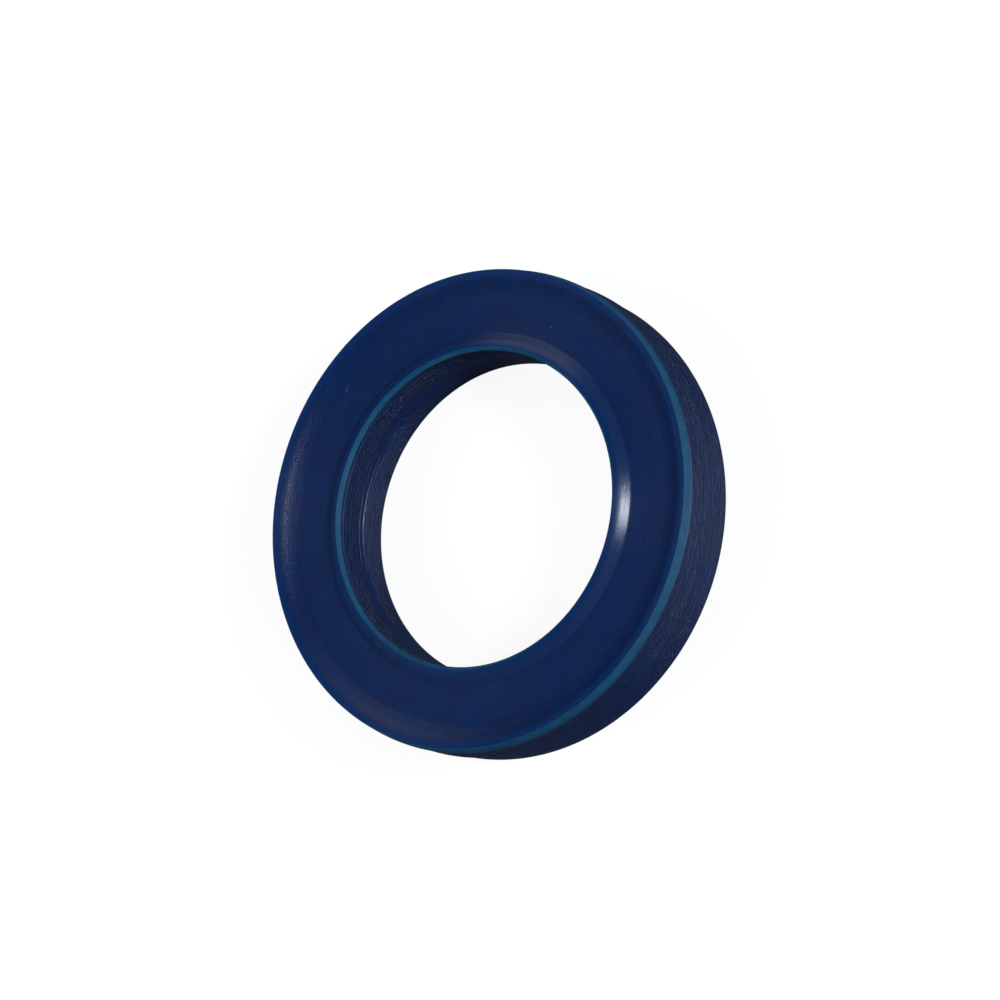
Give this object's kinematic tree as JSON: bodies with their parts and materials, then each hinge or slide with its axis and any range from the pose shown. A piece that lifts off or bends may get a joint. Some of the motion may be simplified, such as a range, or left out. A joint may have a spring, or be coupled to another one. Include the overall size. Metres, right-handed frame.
{
  "type": "u cup seal",
  "caption": "Moulded U cup ring seal with trimmed sealing lips, a shallow mouth, ribbed walls and a flat heel.",
  "frame": {"origin": "centre of the ring on its heel face, which is the face that it lies on", "axes": "+Z along the seal's axis, from the heel towards the lips"},
  "size_m": [0.0386, 0.0386, 0.0066],
  "materials": {
    "polyurethane": "semi-gloss moulded navy blue polyurethane, with paler trimmed sealing lips"
  },
  "bodies": {
    "root": {"u_cup_seal": "polyurethane"}
  },
  "joints": []
}
